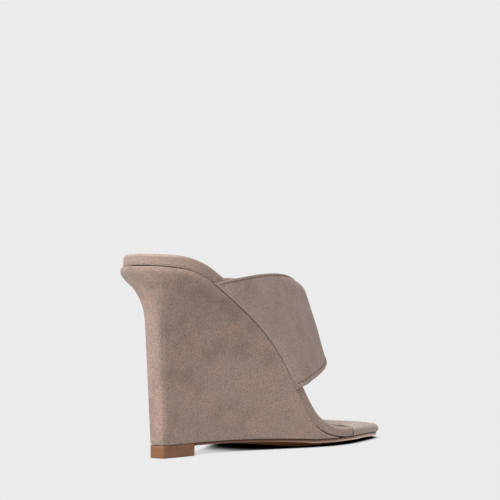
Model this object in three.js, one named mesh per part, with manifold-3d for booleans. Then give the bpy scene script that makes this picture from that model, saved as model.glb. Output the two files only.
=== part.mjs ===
// A high wedge mule, left shoe: a suede wedge with a thin leather outsole and heel tip,
// a padded footbed edged by a rand, a sock that wraps over the toe, and one wide strap.
// Millimetres, +Z up, toe towards +X, the medial (right-hand) side towards -Y.

import * as THREE from 'three';
import { mergeVertices } from 'three/addons/utils/BufferGeometryUtils.js';
import Module from 'manifold-3d';

const wasm = await Module();
wasm.setup();

// Driving sizes of the last
const shoeLength = 212;         // back of the seat to the tip of the toe, along the floor
const ballWidth = 79;           // across the ball of the foot
const seatWidth = 55;           // across the seat under the heel
const toeWidth = 53;            // across the squared toe, just behind its rounding
const seatDepth = 26;           // length of the rounded back of the seat
const toeDepth = 22;            // length of the rounded toe
const wedgeHeight = 101.7;      // thickness of the wedge at the back of the seat
const instepHeight = 71;        // underside of the footbed to the top of the strap

// Driving sizes of the bottom
const tipHeight = 7;            // heel tip, floor to wedge
const tipWidth = 11;            // heel tip across its back
const tipFrontWidth = 16.4;     // heel tip across its front
const tipLength = 26;           // heel tip, back to front
const tipSetIn = 13.4;          // back of the seat to the back of the heel tip
const tipCornerRadius = 2.2;
const outsoleEdge = 2.2;        // visible edge of the outsole at the ball
const waistEdge = 1.4;          // visible edge of the outsole just ahead of the heel tip
const treadLift = 2.3;          // the forepart's edge stands this far off the floor
const toeSpring = 1;            // lift of the sole's middle at the toe
const toeDrop = 1.2;            // how much lower the edge runs at the toe than at the ball
const outsoleSetIn = 1.2;       // outsole's edge inside the suede edge above it

// Driving sizes of the footbed and the strap
const seatThickness = 6.9;      // footbed, rand height at the back of the seat
const archThickness = 8.8;      // footbed, rand height along the arch
const toeThickness = 4.8;       // footbed, rand height at the toe
const coverThickness = 1.3;     // sock and rand
const edgeRadius = 2;           // rounding of the footbed's top edge
const rimProud = 1.5;           // wedge's rim stands out past the footbed
const rimHeight = 5.5;          // straight part of the wedge's rim
const flareHeight = 26;         // hollow flare below the rim
const strapWall = 1.6;
const strapRearMedial = 28.9;   // back of the seat to the strap's rear corner, along the floor
const strapRearLateral = 38;    // the same on the lateral side
const strapFront = 103.5;       // back of the seat to the strap's front corner
const strapBulge = 3.1;         // how far the strap's sides swell at the ball
const strapLiftMedial = 10;     // how far its rear edge arches up on the medial side
const strapLiftLateral = 8.8;   // the same on the lateral side
const toeSeam = 155;            // back of the seat to the seam of the toe wrap
const fitGap = 0.3;             // between pieces that meet

const seatHalf = seatWidth / 2;
const ballHalf = ballWidth / 2;
const toeHalf = toeWidth / 2;
const degrees = Math.PI / 180;

// Half widths of the footbed. Each row is a place along the shoe as a share of its length,
// and the shares of the seat, ball and toe half widths that add up to the width there.
const medialPlan = [
  { along: 0.00, seat: 1.00, ball: 0.00, toe: 0.00 },
  { along: 0.24, seat: 0.99, ball: 0.01, toe: 0.00 },
  { along: 0.35, seat: 0.93, ball: 0.07, toe: 0.00 },
  { along: 0.45, seat: 0.74, ball: 0.26, toe: 0.00 },
  { along: 0.52, seat: 0.50, ball: 0.50, toe: 0.00 },
  { along: 0.59, seat: 0.21, ball: 0.79, toe: 0.00 },
  { along: 0.66, seat: 0.02, ball: 0.98, toe: 0.00 },
  { along: 0.70, seat: 0.00, ball: 1.00, toe: 0.00 },
  { along: 0.74, seat: 0.00, ball: 0.98, toe: 0.02 },
  { along: 0.80, seat: 0.00, ball: 0.79, toe: 0.21 },
  { along: 0.86, seat: 0.00, ball: 0.55, toe: 0.45 },
  { along: 0.92, seat: 0.00, ball: 0.28, toe: 0.72 },
  { along: 1.00, seat: 0.00, ball: 0.03, toe: 0.97 },
];
const lateralPlan = [
  { along: 0.00, seat: 1.00, ball: 0.00, toe: 0.00 },
  { along: 0.20, seat: 0.98, ball: 0.02, toe: 0.00 },
  { along: 0.32, seat: 0.74, ball: 0.26, toe: 0.00 },
  { along: 0.42, seat: 0.40, ball: 0.60, toe: 0.00 },
  { along: 0.50, seat: 0.16, ball: 0.84, toe: 0.00 },
  { along: 0.58, seat: 0.00, ball: 1.00, toe: 0.00 },
  { along: 0.65, seat: 0.00, ball: 1.00, toe: 0.00 },
  { along: 0.74, seat: 0.00, ball: 0.88, toe: 0.12 },
  { along: 0.82, seat: 0.00, ball: 0.62, toe: 0.38 },
  { along: 0.90, seat: 0.00, ball: 0.30, toe: 0.70 },
  { along: 1.00, seat: 0.00, ball: 0.00, toe: 0.95 },
];

// How far the wedge's foot spreads from the heel tip's width towards the footbed's width.
const footSpread = [
  { along: 0.00, medial: 0.00, lateral: 0.00 },
  { along: 0.18, medial: 0.02, lateral: 0.02 },
  { along: 0.26, medial: 0.13, lateral: 0.15 },
  { along: 0.33, medial: 0.30, lateral: 0.33 },
  { along: 0.40, medial: 0.50, lateral: 0.54 },
  { along: 0.47, medial: 0.69, lateral: 0.72 },
  { along: 0.53, medial: 0.84, lateral: 0.86 },
  { along: 0.60, medial: 0.95, lateral: 0.96 },
  { along: 0.65, medial: 1.00, lateral: 1.00 },
  { along: 1.00, medial: 1.00, lateral: 1.00 },
];

// Thickness of the wedge along the shoe, as a share of its height at the back.
const wedgeProfile = [
  { along: 0.000, rise: 1.000 },
  { along: 0.050, rise: 0.979 },
  { along: 0.098, rise: 0.939 },
  { along: 0.165, rise: 0.868 },
  { along: 0.230, rise: 0.793 },
  { along: 0.297, rise: 0.709 },
  { along: 0.358, rise: 0.618 },
  { along: 0.408, rise: 0.522 },
  { along: 0.446, rise: 0.426 },
  { along: 0.479, rise: 0.321 },
  { along: 0.506, rise: 0.230 },
  { along: 0.530, rise: 0.158 },
  { along: 0.562, rise: 0.088 },
  { along: 0.594, rise: 0.047 },
  { along: 0.630, rise: 0.020 },
  { along: 0.665, rise: 0.006 },
  { along: 0.700, rise: 0.000 },
  { along: 1.000, rise: 0.000 },
];

// The sole's profile: waist is the share of its height and edge just ahead of the heel tip,
// tread is how far its middle comes down to the floor, and lift and drop are the shares of
// the toe spring and the toe drop. The rest is the forepart.
const soleProfile = [
  { along: 0.00, waist: 1.00, tread: 0.00, lift: 0.00, drop: 0.00 },
  { along: 0.30, waist: 0.98, tread: 0.04, lift: 0.00, drop: 0.00 },
  { along: 0.39, waist: 0.84, tread: 0.20, lift: 0.00, drop: 0.00 },
  { along: 0.46, waist: 0.62, tread: 0.46, lift: 0.00, drop: 0.00 },
  { along: 0.53, waist: 0.32, tread: 0.76, lift: 0.00, drop: 0.00 },
  { along: 0.59, waist: 0.00, tread: 1.00, lift: 0.00, drop: 0.00 },
  { along: 0.82, waist: 0.00, tread: 1.00, lift: 0.00, drop: 0.00 },
  { along: 0.91, waist: 0.00, tread: 1.00, lift: 0.40, drop: 0.50 },
  { along: 1.00, waist: 0.00, tread: 1.00, lift: 1.00, drop: 1.00 },
];

// Thickness of the footbed, as shares of its thickness at the seat, the arch and the toe.
const footbedProfile = [
  { along: 0.00, seat: 1.00, arch: 0.00, toe: 0.00 },
  { along: 0.10, seat: 0.35, arch: 0.65, toe: 0.00 },
  { along: 0.20, seat: 0.10, arch: 0.90, toe: 0.00 },
  { along: 0.50, seat: 0.00, arch: 1.00, toe: 0.00 },
  { along: 0.58, seat: 0.00, arch: 0.60, toe: 0.40 },
  { along: 0.65, seat: 0.00, arch: 0.28, toe: 0.72 },
  { along: 0.80, seat: 0.00, arch: 0.14, toe: 0.86 },
  { along: 1.00, seat: 0.00, arch: 0.00, toe: 1.00 },
];

// The strap's ridge from its rear edge to its front edge: the place on the footbed that it
// stands over, the forward tilt it is measured along, and its rise as a share of the instep.
const strapRidge = [
  { down: 0.0, over: 0.443, tilt: 40.0, rise: 0.892 },
  { down: 0.3, over: 0.477, tilt: 42.0, rise: 0.996 },
  { down: 0.6, over: 0.533, tilt: 45.0, rise: 0.969 },
  { down: 1.0, over: 0.612, tilt: 52.0, rise: 0.805 },
];

// A smooth curve through the rows of a table that never swings past them.
function through(rows, key, value) {
  const x = rows.map((row) => row[key]);
  const y = rows.map((row) => row[value]);
  const slope = x.slice(1).map((end, i) => (y[i + 1] - y[i]) / (end - x[i]));
  const tangent = x.map((_, i) => {
    if (i === 0) return slope[0];
    if (i === x.length - 1) return slope[i - 1];
    if (slope[i - 1] * slope[i] <= 0) return 0;
    return 2 * slope[i - 1] * slope[i] / (slope[i - 1] + slope[i]);
  });
  return (at) => {
    const place = Math.min(Math.max(at, x[0]), x[x.length - 1]);
    let i = 0;
    while (i < x.length - 2 && place > x[i + 1]) i += 1;
    const step = x[i + 1] - x[i];
    const t = (place - x[i]) / step;
    const rise = y[i] * (1 + 2 * t) * (1 - t) ** 2 + y[i + 1] * t * t * (3 - 2 * t);
    return rise + step * (tangent[i] * t * (1 - t) ** 2 - tangent[i + 1] * t * t * (1 - t));
  };
}

const clamp01 = (value) => Math.min(Math.max(value, 0), 1);
const mix = (a, b, t) => a + (b - a) * t;
const ease = (t) => clamp01(t) ** 2 * (3 - 2 * clamp01(t));

// A size that passes from one named size to the next along the shoe. Sizes are given by
// the names of the table's columns.
function blended(rows, sizes) {
  const parts = Object.entries(sizes).map(([name, size]) => ({
    share: through(rows, 'along', name),
    size,
  }));
  return (x) => parts.reduce((sum, part) => sum + part.share(x / shoeLength) * part.size, 0);
}

const halves = { seat: seatHalf, ball: ballHalf, toe: toeHalf };
const footbedHeight = blended(footbedProfile, {
  seat: seatThickness,
  arch: archThickness,
  toe: toeThickness,
});

// Each side has its sign along Y, its width, and how its foot spreads.
const medial = {
  sign: -1,
  width: blended(medialPlan, halves),
  strapRear: strapRearMedial,
  strapLift: strapLiftMedial,
  spread: through(footSpread, 'along', 'medial'),
};
const lateral = {
  sign: 1,
  width: blended(lateralPlan, halves),
  strapRear: strapRearLateral,
  strapLift: strapLiftLateral,
  spread: through(footSpread, 'along', 'lateral'),
};

const seatRoundness = 2;
const toeSquareness = 3.2;

// How much of the full width is left inside the rounded seat and toe.
function endShare(x, setIn) {
  const backShare = clamp01((seatDepth - x) / (seatDepth - setIn));
  const toeShare = clamp01((x - shoeLength + toeDepth) / (toeDepth - setIn));
  const back = (1 - backShare ** seatRoundness) ** (1 / seatRoundness);
  const toe = (1 - toeShare ** toeSquareness) ** (1 / toeSquareness);
  return back * toe;
}

// Half width of the footbed's outline, moved in by setIn.
function halfWidth(side, x, setIn) {
  return (side.width(x) - setIn) * endShare(x, setIn);
}

const waistShare = through(soleProfile, 'along', 'waist');
const treadShare = through(soleProfile, 'along', 'tread');
const liftShare = through(soleProfile, 'along', 'lift');
const dropShare = through(soleProfile, 'along', 'drop');
const wedgeShare = through(wedgeProfile, 'along', 'rise');

// Heights of the sole and the wedge at a place along the shoe.
function outsoleTop(x) {
  const along = x / shoeLength;
  const level = mix(treadLift + outsoleEdge, tipHeight, waistShare(along));
  return level - toeDrop * dropShare(along);
}

function outsoleEdgeBottom(x) {
  return outsoleTop(x) - mix(outsoleEdge, waistEdge, waistShare(x / shoeLength));
}

function outsoleMiddleBottom(x) {
  const along = x / shoeLength;
  return outsoleEdgeBottom(x) * (1 - treadShare(along)) + toeSpring * liftShare(along);
}

function footbedBottom(x) {
  return outsoleTop(x) + fitGap + wedgeHeight * wedgeShare(x / shoeLength);
}

// The footbed's layers rise square to its own slope.
function squareTo(x) {
  const reach = 0.5;
  const slope = (footbedBottom(x + reach) - footbedBottom(x - reach)) / (2 * reach);
  const upright = ease(x / seatDepth);
  const length = Math.hypot(slope * upright, 1);
  return { x: -slope * upright / length, z: 1 / length };
}

// A closed solid lofted through rings of points. Each end is closed by a ladder between
// the first half of its ring and the second half.
function loft(rings) {
  const count = rings[0].length;
  const positions = rings.flat(2);
  const faces = [];
  const quad = (a, b, c, d) => faces.push(a, b, c, a, c, d);
  for (let ring = 0; ring < rings.length - 1; ring += 1) {
    for (let i = 0; i < count; i += 1) {
      const next = (i + 1) % count;
      const low = ring * count;
      const high = low + count;
      quad(low + i, low + next, high + next, high + i);
    }
  }
  const last = (rings.length - 1) * count;
  for (let i = 0; i < count / 2 - 1; i += 1) {
    quad(i, count - 1 - i, count - 2 - i, i + 1);
    quad(last + i, last + i + 1, last + count - 2 - i, last + count - 1 - i);
  }
  const geometry = new THREE.BufferGeometry();
  geometry.setAttribute('position', new THREE.Float32BufferAttribute(positions, 3));
  geometry.setIndex(faces);
  return facingOut(geometry);
}

// Turns a solid's faces outwards where its rings ran the other way round.
function facingOut(geometry) {
  const position = geometry.getAttribute('position');
  const index = Array.from(geometry.index.array);
  const [a, b, c] = [new THREE.Vector3(), new THREE.Vector3(), new THREE.Vector3()];
  let volume = 0;
  for (let i = 0; i < index.length; i += 3) {
    a.fromBufferAttribute(position, index[i]);
    b.fromBufferAttribute(position, index[i + 1]);
    c.fromBufferAttribute(position, index[i + 2]);
    volume += a.dot(b.cross(c));
  }
  if (volume < 0) geometry.setIndex(index.reverse());
  return geometry;
}

function toSolid(geometry) {
  const plain = geometry.clone();
  plain.deleteAttribute('normal');
  plain.deleteAttribute('uv');
  const merged = mergeVertices(plain);
  return new wasm.Manifold(new wasm.Mesh({
    numProp: 3,
    vertProperties: Float32Array.from(merged.getAttribute('position').array),
    triVerts: Uint32Array.from(merged.index.array),
  }));
}

function fromSolid(solid) {
  const mesh = solid.getMesh();
  const geometry = new THREE.BufferGeometry();
  geometry.setAttribute('position', new THREE.BufferAttribute(mesh.vertProperties, 3));
  geometry.setIndex(new THREE.BufferAttribute(mesh.triVerts, 1));
  return geometry;
}

// Places along the outline: even turns round the seat and the toe, even steps between.
const endSteps = 9;
const middleSteps = 42;
const firstTurn = 5 * degrees;

function outlinePlaces(setIn) {
  const places = [];
  for (let i = 0; i < endSteps; i += 1) {
    const turn = mix(firstTurn, Math.PI / 2, i / endSteps);
    places.push(seatDepth - (seatDepth - setIn) * Math.cos(turn));
  }
  for (let i = 0; i < middleSteps; i += 1) {
    places.push(mix(seatDepth, shoeLength - toeDepth, i / middleSteps));
  }
  for (let i = 0; i <= endSteps; i += 1) {
    const turn = mix(0, Math.PI / 2 - firstTurn, i / endSteps);
    const reach = Math.sin(turn) ** (2 / toeSquareness);
    places.push(shoeLength - toeDepth + (toeDepth - setIn) * reach);
  }
  return places;
}

// One closed outline of the footbed, up the medial side and back down the lateral side.
function footbedRing(setIn, rise) {
  const corner = (side, x) => {
    const square = squareTo(x);
    const height = rise(x);
    return [
      x + square.x * height,
      side.sign * halfWidth(side, x, setIn),
      footbedBottom(x) + square.z * height,
    ];
  };
  const places = outlinePlaces(setIn);
  return [
    ...places.map((x) => corner(medial, x)),
    ...places.map((x) => corner(lateral, x)).reverse(),
  ];
}

// Insets and drops that round a top edge, from its side to its top.
const roundingSteps = [0, 30, 60, 90];
function roundedEdge(radius) {
  return roundingSteps.map((turn) => ({
    setIn: radius * (1 - Math.cos(turn * degrees)),
    drop: radius * (1 - Math.sin(turn * degrees)),
  }));
}

// A layer of the footbed between two heights, with its top edge rounded by a radius.
function footbedLayer(setIn, low, high, radius) {
  const edge = radius > 0 ? roundedEdge(radius) : [{ setIn: 0, drop: 0 }];
  return loft([
    footbedRing(setIn, low),
    ...edge.map((step) => footbedRing(setIn + step.setIn, (x) => high(x) - step.drop)),
  ]);
}

const coreSetIn = coverThickness + fitGap;

function makeFootbed() {
  const top = (x) => footbedHeight(x) - coverThickness - fitGap;
  return footbedLayer(coreSetIn, () => 0, top, 0);
}

// The sock lies on the footbed inside the rand, and ahead of the toe seam it goes on
// over the edge and down to the outsole.
function makeSock() {
  const whole = toSolid(footbedLayer(0, () => 0, footbedHeight, edgeRadius));
  const toeBlock = new THREE.BoxGeometry(shoeLength, 2 * ballWidth, wedgeHeight);
  toeBlock.translate(toeSeam + fitGap + shoeLength / 2, 0, 0);
  const toeWrap = whole.intersect(toSolid(toeBlock));
  const sheetBottom = (x) => footbedHeight(x) - coverThickness;
  const sheet = toSolid(footbedLayer(coreSetIn, sheetBottom, footbedHeight, 0));
  const room = toSolid(footbedLayer(coverThickness, () => -toeThickness, sheetBottom, 0));
  return fromSolid(toeWrap.add(sheet).subtract(room));
}

// The rand is a strip round the footbed's side, from the toe seam round the seat and back.
function makeRand() {
  const edge = roundedEdge(edgeRadius).filter((step) => step.setIn < coverThickness);
  const shoulder = Math.sqrt(edgeRadius ** 2 - (edgeRadius - coverThickness) ** 2);
  const section = [
    { setIn: 0, height: () => 0 },
    ...edge.map((step) => ({
      setIn: step.setIn,
      height: (x) => footbedHeight(x) - step.drop,
    })),
    { setIn: coverThickness, height: (x) => footbedHeight(x) - edgeRadius + shoulder },
    { setIn: coverThickness, height: () => 0 },
  ];
  const behindSeam = outlinePlaces(0).filter((x) => x < toeSeam).length;
  const sectionAt = (side, i) => section.map(({ setIn, height }) => {
    const x = i < behindSeam ? outlinePlaces(setIn)[i] : toeSeam;
    const square = squareTo(x);
    return [
      x + square.x * height(x),
      side.sign * halfWidth(side, x, setIn),
      footbedBottom(x) + square.z * height(x),
    ];
  });
  const along = Array.from({ length: behindSeam + 1 }, (_, i) => i);
  return loft([
    ...along.map((i) => sectionAt(medial, i)).reverse(),
    ...along.map((i) => sectionAt(lateral, i)),
  ]);
}

// The wedge ends where it has thinned out under the ball.
const wedgeEnd = 0.66 * shoeLength;

function rim(x) {
  return rimProud * ease((wedgeEnd - x) / (wedgeEnd - strapFront));
}

// Half width of the wedge's foot and of the sole under it.
function footHalf(side, x) {
  const tipShare = clamp01((x - tipSetIn) / tipLength);
  const tipHalf = mix(tipWidth, tipFrontWidth, tipShare) / 2;
  const full = halfWidth(side, x, 0) + rim(x);
  return mix(tipHalf, full, side.spread(x / shoeLength));
}

// The wedge's corner runs from the tip's corner up into the seat's rounding.
const cornerTurn = { from: 44 * degrees, to: 58 * degrees };
const backSteps = 5;
const cornerSteps = 3;
const sideSteps = 38;
const sideBunching = 1.15;

// Pairs of points that the wedge's wall joins, from the middle of its back to its front
// end: rim is on the footbed's outline, and foot is on the outline of the heel tip.
function wedgeWall(side) {
  const rimAtTurn = (turn) => {
    const x = seatDepth - (seatDepth + rimProud) * Math.cos(turn);
    return [x, side.width(Math.max(x, 0)) * Math.sin(turn) + rimProud * Math.sin(turn)];
  };
  const pairs = [];
  for (let i = 0; i < backSteps; i += 1) {
    const share = i / backSteps;
    const flat = tipWidth / 2 - tipCornerRadius;
    pairs.push({
      rim: rimAtTurn(mix(firstTurn, cornerTurn.from, share)),
      foot: [tipSetIn, mix(flat / (backSteps * 2), flat, share)],
    });
  }
  for (let i = 0; i < cornerSteps; i += 1) {
    const share = i / cornerSteps;
    const turn = share * Math.PI / 2;
    pairs.push({
      rim: rimAtTurn(mix(cornerTurn.from, cornerTurn.to, share)),
      foot: [
        tipSetIn + tipCornerRadius * (1 - Math.cos(turn)),
        tipWidth / 2 - tipCornerRadius * (1 - Math.sin(turn)),
      ],
    });
  }
  const rimStart = rimAtTurn(cornerTurn.to)[0];
  for (let i = 0; i <= sideSteps; i += 1) {
    const share = (i / sideSteps) ** sideBunching;
    const rimX = mix(rimStart, wedgeEnd, share);
    const footX = mix(tipSetIn + tipCornerRadius, wedgeEnd, share);
    const rimY = rimX < seatDepth
      ? rimAtTurn(Math.acos((seatDepth - rimX) / (seatDepth + rimProud)))[1]
      : halfWidth(side, rimX, 0) + rim(rimX);
    pairs.push({ rim: [rimX, rimY], foot: [footX, footHalf(side, footX)] });
  }
  return pairs;
}

// Depths below the rim at which the wall is drawn, the last few as shares of what is left.
const rimDepths = [0, 0.62, 1].map((share) => share * rimHeight);
const flareDepths = [0.12, 0.26, 0.42, 0.62, 1];
const wallShares = [0.5, 1];
const flareHollow = 2.3;
const flareAcross = 0.92;
const flareAlong = 0.42;
const flareReach = { from: 20, to: 100 };
const fullWall = 60;

function makeWedge() {
  const wall = (side) => wedgeWall(side).map(({ rim: rimPoint, foot }) => {
    const top = footbedBottom(Math.max(rimPoint[0], 0)) - fitGap;
    const bottom = outsoleTop(foot[0]) + fitGap;
    const tall = top - bottom;
    const squeeze = Math.min(1, tall / fullWall);
    const reach = flareReach.to - flareReach.from;
    const fade = 1 - ease((rimPoint[0] - flareReach.from) / reach);
    const depths = [
      ...rimDepths.map((depth) => depth * squeeze),
      ...flareDepths.map((share) => (rimHeight + share * flareHeight) * squeeze),
    ];
    const flareFoot = depths[depths.length - 1];
    depths.push(...wallShares.map((share) => mix(flareFoot, tall, share)));
    return depths.map((depth) => {
      const below = depth / squeeze - rimDepths[1];
      const hollow = clamp01(1 - below / (rimHeight + flareHeight - rimDepths[1])) ** flareHollow;
      const straight = 1 - depth / tall;
      const across = mix(straight, hollow, flareAcross * fade);
      const along = mix(straight, hollow, flareAlong * fade);
      return [
        mix(foot[0], rimPoint[0], along),
        side.sign * mix(foot[1], rimPoint[1], across),
        top - depth,
      ];
    });
  });
  const right = wall(medial);
  const left = wall(lateral).reverse();
  return loft(right[0].map((_, level) => [...right, ...left].map((line) => line[level])));
}

// The outsole is a plate whose underside swells to a flat tread under the ball.
const soleSteps = 30;
const acrossShares = [-1, -0.93, -0.82, -0.66, 0.66, 0.82, 0.93, 1];
const treadEdge = 0.34;
const toeRoll = 10;

function makeOutsole() {
  const start = tipSetIn + tipLength + fitGap;
  const end = shoeLength - outsoleSetIn;
  const toePlaces = outlinePlaces(outsoleSetIn).slice(-endSteps - 1);
  const places = Array.from({ length: soleSteps }, (_, i) => (
    mix(start, shoeLength - toeDepth, i / soleSteps)
  )).concat(toePlaces);
  const sideHalf = (side, x) => (x < wedgeEnd
    ? footHalf(side, x) - outsoleSetIn
    : halfWidth(side, x, outsoleSetIn));
  const across = (x, share) => {
    const side = share < 0 ? medial : lateral;
    return share * sideHalf(side, x);
  };
  return loft(places.map((x) => {
    const edge = outsoleEdgeBottom(x);
    const middle = mix(edge, outsoleMiddleBottom(x), ease((end - x) / toeRoll));
    const under = acrossShares.map((share) => [
      x,
      across(x, share),
      mix(edge, middle, ease((1 - Math.abs(share)) / treadEdge)),
    ]);
    const over = acrossShares.map((share) => [x, across(x, share), outsoleTop(x)]).reverse();
    return [...under, ...over];
  }));
}

function makeHeelTip() {
  const back = tipWidth / 2;
  const front = tipFrontWidth / 2;
  const r = tipCornerRadius;
  const outline = new THREE.Shape();
  outline.moveTo(0, -back + r);
  outline.quadraticCurveTo(0, -back, r, -back);
  outline.lineTo(tipLength - r, -front);
  outline.quadraticCurveTo(tipLength, -front, tipLength, -front + r);
  outline.lineTo(tipLength, front - r);
  outline.quadraticCurveTo(tipLength, front, tipLength - r, front);
  outline.lineTo(r, back);
  outline.quadraticCurveTo(0, back, 0, back - r);
  const tip = new THREE.ExtrudeGeometry(outline, {
    depth: tipHeight,
    bevelEnabled: false,
    curveSegments: 5,
  });
  tip.translate(tipSetIn, 0, 0);
  return tip;
}

// The strap is an arch of leather over the instep, one wall from seam to seam.
const ridgeOver = through(strapRidge, 'down', 'over');
const ridgeTilt = through(strapRidge, 'down', 'tilt');
const ridgeRise = through(strapRidge, 'down', 'rise');
const archFullness = 1.85;
const strapStand = fitGap + strapWall;
const strapRows = 17;
const archSteps = 20;

// Eases a point of the strap out where it passes the footbed's side, to stand clear of it.
function besideFootbed(side, x, y, z, clear) {
  const height = footbedHeight(x);
  const beside = ease((footbedBottom(x) + 3 * height - z) / height);
  const apart = halfWidth(side, x, 0) + clear;
  return Math.max(y, mix(y, apart, beside));
}

function strapPoint(side, down, around) {
  const baseX = mix(side.strapRear, strapFront, down);
  const baseZ = footbedBottom(baseX);
  const overX = ridgeOver(down) * shoeLength;
  const tilt = ridgeTilt(down) * degrees;
  const rise = ridgeRise(down) * instepHeight;
  const ridgeX = overX + rise * Math.cos(tilt);
  const ridgeZ = footbedBottom(overX) + rise * Math.sin(tilt);
  const turn = around * Math.PI / 2;
  const out = Math.cos(turn) ** (2 / archFullness);
  const up = Math.sin(turn) ** (2 / archFullness);
  const swell = Math.sin(2 * turn);
  const x = mix(baseX, ridgeX, up);
  const z = mix(baseZ, ridgeZ, up) + side.strapLift * swell * (1 - down);
  const y = (halfWidth(side, baseX, 0) + strapStand) * out + strapBulge * down * swell;
  return [x, side.sign * besideFootbed(side, x, y, z, strapStand), z];
}

function makeStrap() {
  const arches = [];
  for (let i = 0; i <= archSteps; i += 1) arches.push({ side: medial, around: i / archSteps });
  for (let i = archSteps - 1; i >= 0; i -= 1) {
    arches.push({ side: lateral, around: i / archSteps });
  }
  const downs = Array.from({ length: strapRows }, (_, i) => i / (strapRows - 1));
  const outer = arches.map(({ side, around }) => (
    downs.map((down) => new THREE.Vector3(...strapPoint(side, down, around)))
  ));
  const inner = outer.map((line, i) => line.map((point, j) => {
    const { side, around } = arches[i];
    if (around === 0) {
      const inside = side.sign * (halfWidth(side, point.x, 0) + fitGap);
      return new THREE.Vector3(point.x, inside, point.z);
    }
    const alongStrap = line[Math.min(j + 1, strapRows - 1)].clone().sub(line[Math.max(j - 1, 0)]);
    const aroundFoot = outer[i + 1][j].clone().sub(outer[i - 1][j]);
    const inwards = aroundFoot.cross(alongStrap).normalize().multiplyScalar(strapWall);
    const moved = point.clone().add(inwards);
    const y = besideFootbed(side, moved.x, side.sign * moved.y, moved.z, fitGap);
    return new THREE.Vector3(moved.x, side.sign * y, moved.z);
  }));
  return loft(outer.map((line, i) => [
    ...line.map((point) => point.toArray()),
    ...inner[i].map((point) => point.toArray()).reverse(),
  ]));
}

const suede = (color) => new THREE.MeshStandardMaterial({ color, roughness: 0.95, metalness: 0 });
const leather = new THREE.MeshStandardMaterial({ color: 0x8a5a3a, roughness: 0.45, metalness: 0 });

const shoe = new THREE.Group();
function addPiece(name, geometry, material) {
  const mesh = new THREE.Mesh(geometry, material);
  mesh.name = name;
  shoe.add(mesh);
}

addPiece('heel_tip', makeHeelTip(), leather);
addPiece('outsole', makeOutsole(), leather);
addPiece('wedge', makeWedge(), suede(0x9a897c));
addPiece('footbed', makeFootbed(), suede(0xa08f80));
addPiece('rand', makeRand(), suede(0xa5927f));
addPiece('sock', makeSock(), suede(0xb5a493));
addPiece('upper_strap', makeStrap(), suede(0x9c8b7d));

// The origin is under the middle of the shoe's box, on the floor.
const box = new THREE.Box3().setFromObject(shoe);
const middle = box.getCenter(new THREE.Vector3());
shoe.position.set(-middle.x, -middle.y, -box.min.z);

export default shoe;
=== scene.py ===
# %% [markdown]
# # A suede wedge mule
# This lesson builds one high wedge mule, a left shoe, in Blender 4.5. A maker would cover a
# moulded wedge in suede, lay a covered footbed on it, last one wide strap in between the two,
# and glue a thin leather outsole and a heel tip underneath. Each of those is a piece here, and
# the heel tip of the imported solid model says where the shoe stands.

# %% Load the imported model
import math

import bmesh
import bpy
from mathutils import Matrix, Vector


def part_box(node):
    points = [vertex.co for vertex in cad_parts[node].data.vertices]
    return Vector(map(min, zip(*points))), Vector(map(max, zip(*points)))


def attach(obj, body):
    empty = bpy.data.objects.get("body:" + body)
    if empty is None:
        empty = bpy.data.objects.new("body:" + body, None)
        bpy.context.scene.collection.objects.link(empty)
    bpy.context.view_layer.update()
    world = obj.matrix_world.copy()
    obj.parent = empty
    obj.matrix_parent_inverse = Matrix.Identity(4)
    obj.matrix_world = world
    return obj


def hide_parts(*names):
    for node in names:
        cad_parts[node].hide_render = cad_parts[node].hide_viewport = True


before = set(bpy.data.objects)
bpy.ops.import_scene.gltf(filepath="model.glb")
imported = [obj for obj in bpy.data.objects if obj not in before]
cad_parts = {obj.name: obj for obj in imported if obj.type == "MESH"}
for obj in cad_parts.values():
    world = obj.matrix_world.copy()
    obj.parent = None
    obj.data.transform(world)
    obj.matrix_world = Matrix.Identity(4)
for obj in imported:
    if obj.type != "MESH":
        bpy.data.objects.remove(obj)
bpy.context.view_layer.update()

MM = 0.001
print("pieces in the packed model:", sorted(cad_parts))

# %% [markdown]
# ## The last
# A shoe is made round a last, so all its pieces share a few sizes. They are written here in
# millimetres, from the back of the seat (x), the middle of the heel tip (y) and the floor (z).
# Tables hold shares of those sizes, one row for each place along the shoe, so that a change of
# one size moves every piece that follows it.

# %% Sizes of the last, the bottom and the footbed
SHOE_LENGTH = 212.0
BALL_WIDTH = 79.0
SEAT_WIDTH = 55.0
TOE_WIDTH = 53.0
SEAT_DEPTH = 26.0
TOE_DEPTH = 22.0
TOE_SQUARENESS = 3.2
WEDGE_HEIGHT = 101.7
WEDGE_END = 0.66 * SHOE_LENGTH
INSTEP_HEIGHT = 71.0

TIP_HEIGHT = 7.0
TIP_WIDTH = 11.0
TIP_FRONT_WIDTH = 16.4
TIP_LENGTH = 26.0
TIP_SET_IN = 13.4
TIP_CORNER = 2.2
OUTSOLE_EDGE = 2.2
WAIST_EDGE = 1.4
TREAD_LIFT = 2.3
TOE_SPRING = 1.0
TOE_DROP = 1.2
OUTSOLE_SET_IN = 1.2

SEAT_THICKNESS = 6.9
ARCH_THICKNESS = 8.8
TOE_THICKNESS = 4.8
COVER = 1.3
RIM_PROUD = 1.5
RIM_HEIGHT = 5.5
FLARE_HEIGHT = 26.0
STRAP_WALL = 1.6
STRAP_REAR_MEDIAL = 28.9
STRAP_REAR_LATERAL = 38.0
STRAP_FRONT = 103.5
STRAP_BULGE = 3.1
STRAP_LIFT_MEDIAL = 10.0
STRAP_LIFT_LATERAL = 8.8
TOE_SEAM = 155.0
FIT_GAP = 0.3

tip_low, tip_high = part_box("heel_tip")
SEAT_BACK = tip_low.x / MM - TIP_SET_IN
MIDLINE = (tip_low.y + tip_high.y) / 2 / MM
print(f"the seat's back is at x = {SEAT_BACK:.1f} mm and the midline at y = {MIDLINE:.1f} mm")


def place(x, y, z):
    """A point of the last, in millimetres, as a point of the model, in metres."""
    return Vector(((x + SEAT_BACK) * MM, (y + MIDLINE) * MM, z * MM))


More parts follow.
